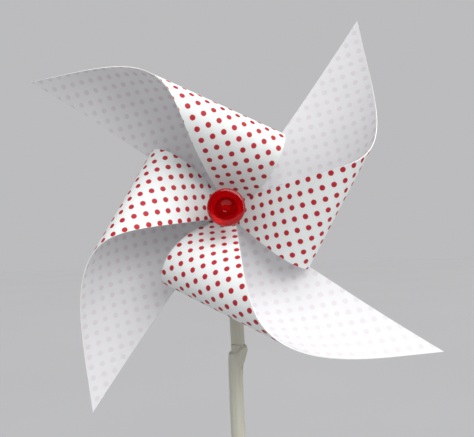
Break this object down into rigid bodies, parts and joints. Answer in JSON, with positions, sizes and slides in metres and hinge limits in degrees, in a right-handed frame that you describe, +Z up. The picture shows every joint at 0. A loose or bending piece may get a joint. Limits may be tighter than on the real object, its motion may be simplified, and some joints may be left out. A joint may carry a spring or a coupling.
{
  "type": "pinwheel",
  "caption": "Paper pinwheel folded from a dotted square sheet, turning on a push pin in a peeled twig handle.",
  "frame": {"origin": "middle of the twig's foot, the lower end of the handle", "axes": "+Z up along the handle; the wheel's axis runs along Y and the wheel faces -Y; +X to the viewer's right"},
  "size_m": [0.1137, 0.0351, 0.247],
  "materials": {
    "paper": "matt white paper with small red dots printed on one side",
    "red_plastic": "glossy translucent red",
    "steel": "bright drawn wire",
    "bead_wood": "plain turned bead",
    "twig_wood": "peeled and weathered pale"
  },
  "bodies": {
    "handle": {"twig": "twig_wood", "pin_needle": "steel", "pin_head": "red_plastic"},
    "wheel": {"paper_sheet": "paper"},
    "bead": {"spacer_bead": "bead_wood"}
  },
  "joints": [
    {"name": "wheel_spin", "type": "hinge", "parent": "handle", "child": "wheel", "pos_m": [0, -0.00673, 0.19], "axis": [0, -1, 0], "continuous": true},
    {"name": "bead_spin", "type": "hinge", "parent": "handle", "child": "bead", "pos_m": [0, -0.00673, 0.19], "axis": [0, -1, 0], "continuous": true}
  ]
}
